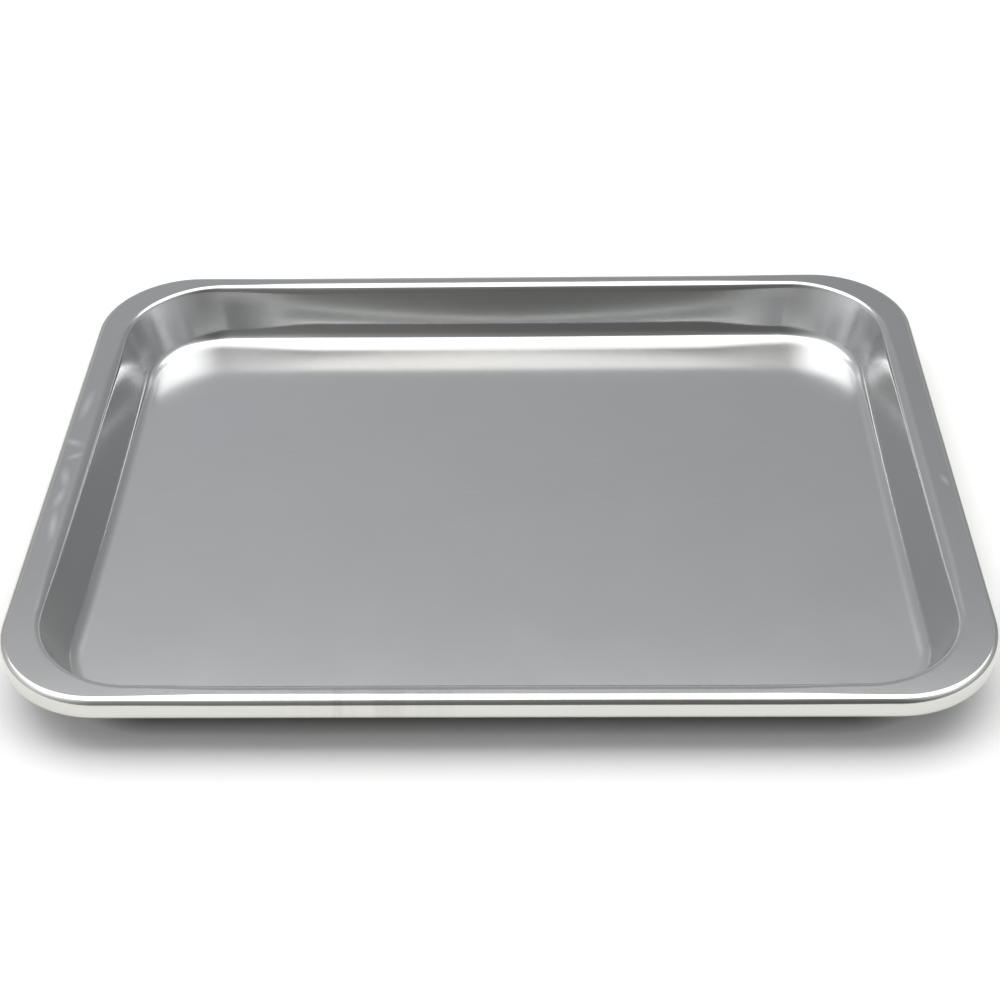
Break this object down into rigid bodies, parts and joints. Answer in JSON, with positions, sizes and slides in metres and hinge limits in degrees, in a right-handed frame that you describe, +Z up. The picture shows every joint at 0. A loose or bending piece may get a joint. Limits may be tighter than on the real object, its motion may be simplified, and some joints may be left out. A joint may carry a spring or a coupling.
{
  "type": "cookie sheet",
  "caption": "Shallow rectangular stainless steel baking tray with sloping walls, rounded corners, a flat flange and a rim rolled round a wire, for baking in an oven.",
  "frame": {"origin": "centre of the tray, on the underside of its floor", "axes": "+X along the long sides, to the right in the picture; +Y away from the viewer of the picture; +Z up, out of the tray's mouth"},
  "size_m": [0.4, 0.3, 0.0275],
  "materials": {
    "tray_steel": "satin floor and flange, polished walls and rim",
    "wire_steel": "plain drawn wire"
  },
  "bodies": {
    "root": {"pressed_tray": "tray_steel", "rim_wire": "wire_steel"}
  },
  "joints": []
}
